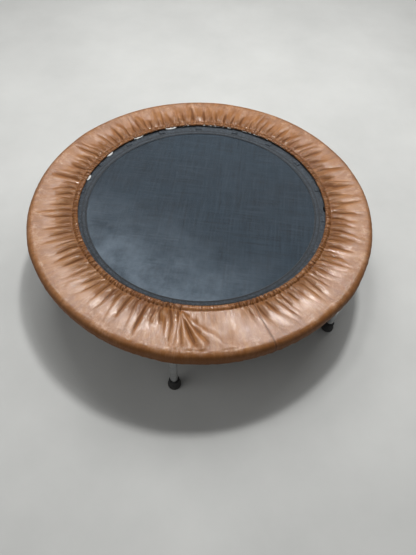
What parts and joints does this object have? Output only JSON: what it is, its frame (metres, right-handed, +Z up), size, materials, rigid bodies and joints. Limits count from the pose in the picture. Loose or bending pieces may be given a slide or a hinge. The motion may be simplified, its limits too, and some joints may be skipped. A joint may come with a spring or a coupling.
{
  "type": "mini trampoline",
  "caption": "Round mini trampoline: a woven mat held by springs in a tube hoop on screw-in legs with rubber tips, under a gathered vinyl skirt.",
  "frame": {"origin": "on the floor, below the middle of the mat", "axes": "+Z up, normal to the mat; +X towards the joint in the hoop tube"},
  "size_m": [1.025, 1.025, 0.2245],
  "materials": {
    "frame_steel": "galvanised, dull",
    "leg_chrome": "bright plated, lightly worn",
    "zinc": "zinc plated",
    "spring_steel": "zinc plated wire",
    "tip_rubber": "black, scuffed",
    "mat_weave": "woven polypropylene, dusty",
    "webbing": "polypropylene webbing",
    "skirt_vinyl": "glossy grained vinyl, gathered",
    "elastic": "woven elastic"
  },
  "bodies": {
    "frame": {"hoop_tube": "frame_steel", "joint_sleeve": "zinc", "joint_screw_1": "zinc", "joint_screw_2": "zinc", "leg_boss_1": "frame_steel", "leg_boss_2": "frame_steel", "leg_boss_3": "frame_steel", "leg_boss_4": "frame_steel", "leg_boss_5": "frame_steel", "leg_boss_6": "frame_steel", "leg_stud_1": "zinc", "leg_stud_2": "zinc", "leg_stud_3": "zinc", "leg_stud_4": "zinc", "leg_stud_5": "zinc", "leg_stud_6": "zinc", "spring_pair_01": "spring_steel", "spring_pair_02": "spring_steel", "spring_pair_03": "spring_steel", "spring_pair_04": "spring_steel", "spring_pair_05": "spring_steel", "spring_pair_06": "spring_steel", "spring_pair_07": "spring_steel", "spring_pair_08": "spring_steel", "spring_pair_09": "spring_steel", "spring_pair_10": "spring_steel", "spring_pair_11": "spring_steel", "spring_pair_12": "spring_steel", "spring_pair_13": "spring_steel", "spring_pair_14": "spring_steel", "spring_pair_15": "spring_steel", "spring_pair_16": "spring_steel", "spring_pair_17": "spring_steel", "spring_pair_18": "spring_steel", "skirt": "skirt_vinyl", "inner_elastic": "elastic", "outer_elastic": "elastic"},
    "mat": {"mat": "mat_weave", "mat_webbing": "webbing"},
    "leg_1": {"leg_insert_1": "zinc", "leg_tube_1": "leg_chrome", "rubber_tip_1": "tip_rubber"},
    "leg_2": {"leg_insert_2": "zinc", "leg_tube_2": "leg_chrome", "rubber_tip_2": "tip_rubber"},
    "leg_3": {"leg_insert_3": "zinc", "leg_tube_3": "leg_chrome", "rubber_tip_3": "tip_rubber"},
    "leg_4": {"leg_insert_4": "zinc", "leg_tube_4": "leg_chrome", "rubber_tip_4": "tip_rubber"},
    "leg_5": {"leg_insert_5": "zinc", "leg_tube_5": "leg_chrome", "rubber_tip_5": "tip_rubber"},
    "leg_6": {"leg_insert_6": "zinc", "leg_tube_6": "leg_chrome", "rubber_tip_6": "tip_rubber"}
  },
  "joints": [
    {"name": "mat_bounce", "type": "slide", "parent": "frame", "child": "mat", "axis": [0, 0, 1], "range_m": [-0.11, 0], "stiffness_N_per_m": 12000, "springref_m": 0.001, "deforming": ["spring_pair_01", "spring_pair_02", "spring_pair_03", "spring_pair_04", "spring_pair_05", "spring_pair_06", "spring_pair_07", "spring_pair_08", "spring_pair_09", "spring_pair_10", "spring_pair_11", "spring_pair_12", "spring_pair_13", "spring_pair_14", "spring_pair_15", "spring_pair_16", "spring_pair_17", "spring_pair_18"]},
    {"name": "leg_1_screw", "type": "hinge", "parent": "frame", "child": "leg_1", "pos_m": [0.42608, 0.246, 0.165], "axis": [0, 0, -1], "range_deg": [0, 5490]},
    {"name": "leg_2_screw", "type": "hinge", "parent": "frame", "child": "leg_2", "pos_m": [0, 0.492, 0.165], "axis": [0, 0, -1], "range_deg": [0, 5490]},
    {"name": "leg_3_screw", "type": "hinge", "parent": "frame", "child": "leg_3", "pos_m": [-0.42608, 0.246, 0.165], "axis": [0, 0, -1], "range_deg": [0, 5490]},
    {"name": "leg_4_screw", "type": "hinge", "parent": "frame", "child": "leg_4", "pos_m": [-0.42608, -0.246, 0.165], "axis": [0, 0, -1], "range_deg": [0, 5490]},
    {"name": "leg_5_screw", "type": "hinge", "parent": "frame", "child": "leg_5", "pos_m": [0, -0.492, 0.165], "axis": [0, 0, -1], "range_deg": [0, 5490]},
    {"name": "leg_6_screw", "type": "hinge", "parent": "frame", "child": "leg_6", "pos_m": [0.42608, -0.246, 0.165], "axis": [0, 0, -1], "range_deg": [0, 5490]}
  ]
}
